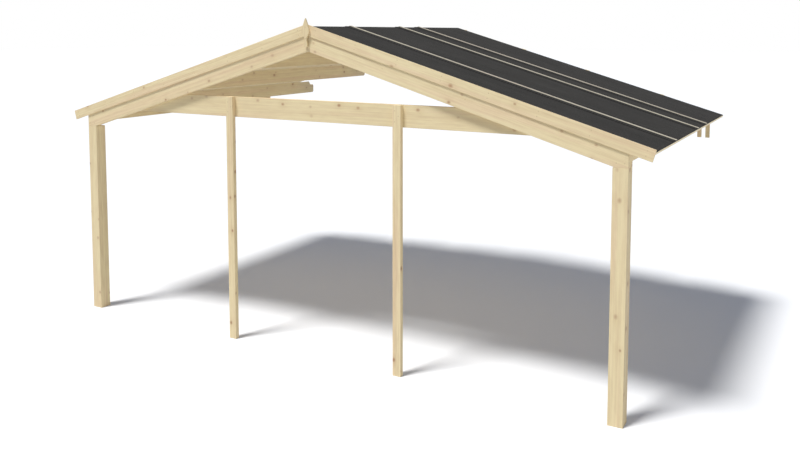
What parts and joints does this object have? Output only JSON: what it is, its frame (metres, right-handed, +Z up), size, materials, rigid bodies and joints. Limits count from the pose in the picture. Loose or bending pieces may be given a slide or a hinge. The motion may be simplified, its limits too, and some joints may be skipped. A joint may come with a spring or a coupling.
{
  "type": "patio cover",
  "caption": "Timber patio cover with a low gabled felt roof on front posts and a tie beam, with notched purlin ends that a cabin wall carries.",
  "frame": {"origin": "middle of the ridge purlin's shoulder, the upright face at its rear end that bears on the cabin wall", "axes": "+X runs across the front to the right as seen by someone facing the entrance, +Y runs back through the wall, +Z is up"},
  "size_m": [6.2388, 3.519, 3.1434],
  "materials": {
    "frame_timber": "planed pale spruce with small knots, unpainted",
    "deck_boards": "planed pale spruce tongue-and-groove boards, unpainted",
    "trim_timber": "planed pale spruce, unpainted",
    "roofing_felt": "charcoal mineral-surfaced bitumen felt, matt"
  },
  "bodies": {
    "root": {"corner_post_left": "frame_timber", "corner_post_right": "frame_timber", "stud_left": "frame_timber", "stud_right": "frame_timber", "tie_beam": "frame_timber", "gable_rafter_left": "frame_timber", "gable_rafter_right": "frame_timber", "ridge_purlin": "frame_timber", "purlin_left_1": "frame_timber", "purlin_left_2": "frame_timber", "purlin_left_3": "frame_timber", "purlin_right_1": "frame_timber", "purlin_right_2": "frame_timber", "purlin_right_3": "frame_timber", "wall_plate_left": "frame_timber", "wall_plate_right": "frame_timber", "post_packer_left": "trim_timber", "post_packer_right": "trim_timber", "rear_fork_left": "trim_timber", "rear_fork_right": "trim_timber", "roof_deck_left": "deck_boards", "roof_deck_right": "deck_boards", "felt_left_1": "roofing_felt", "felt_left_2": "roofing_felt", "felt_left_3": "roofing_felt", "felt_left_4": "roofing_felt", "felt_right_1": "roofing_felt", "felt_right_2": "roofing_felt", "felt_right_3": "roofing_felt", "felt_right_4": "roofing_felt", "batten_left_1": "trim_timber", "batten_left_2": "trim_timber", "batten_left_3": "trim_timber", "batten_right_1": "trim_timber", "batten_right_2": "trim_timber", "batten_right_3": "trim_timber", "barge_board_left": "trim_timber", "barge_board_right": "trim_timber", "ridge_finial": "trim_timber"}
  },
  "joints": []
}
